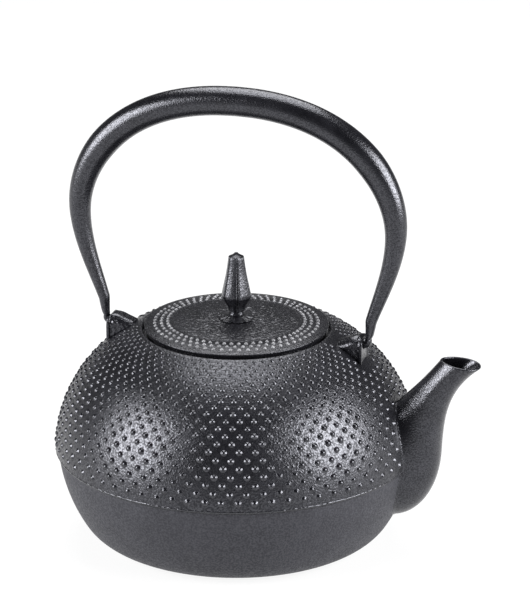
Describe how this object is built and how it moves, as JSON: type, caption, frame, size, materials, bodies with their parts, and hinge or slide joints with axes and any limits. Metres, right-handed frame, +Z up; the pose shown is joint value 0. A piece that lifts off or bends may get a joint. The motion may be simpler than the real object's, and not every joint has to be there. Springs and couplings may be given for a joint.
{
  "type": "cast iron teapot",
  "caption": "Round cast iron teapot with a studded dome, upright bail handle on two lugs, tapering spout, flat knobbed lid and a lift-out steel strainer.",
  "frame": {"origin": "centre of the flat base, on the pot's axis", "axes": "+Z up, +X towards the spout; the handle stands in the XZ plane"},
  "size_m": [0.2156, 0.1824, 0.2315],
  "materials": {
    "bowl_iron": "matte black cast skin",
    "dome_iron": "semi-gloss black cast skin",
    "smooth_iron": "satin black fine-grained skin",
    "lid_iron": "semi-gloss black cast skin",
    "pin_iron": "plain dark iron",
    "steel": "brushed stainless steel"
  },
  "bodies": {
    "pot": {"lower_bowl": "bowl_iron", "upper_dome": "dome_iron", "spout": "smooth_iron", "front_lug": "dome_iron", "rear_lug": "dome_iron"},
    "handle": {"handle_arch": "smooth_iron", "front_hook": "smooth_iron", "rear_hook": "smooth_iron"},
    "strainer": {"strainer_rim": "steel", "strainer_wall": "steel", "strainer_bottom": "steel"},
    "lid": {"lid_plate": "lid_iron", "lid_skirt": "lid_iron", "knob_washer": "lid_iron", "knob": "smooth_iron", "knob_pin": "pin_iron", "pin_washer": "pin_iron"}
  },
  "joints": [
    {"name": "handle_swing", "type": "hinge", "parent": "pot", "child": "handle", "pos_m": [0, 0, 0.1055], "axis": [1, 0, 0], "range_deg": [-105, 105]},
    {"name": "strainer_lift", "type": "slide", "parent": "pot", "child": "strainer", "axis": [0, 0, 1], "range_m": [0, 0.065]},
    {"name": "lid_lift", "type": "slide", "parent": "strainer", "child": "lid", "axis": [0, 0, 1], "range_m": [0, 0.06]}
  ]
}
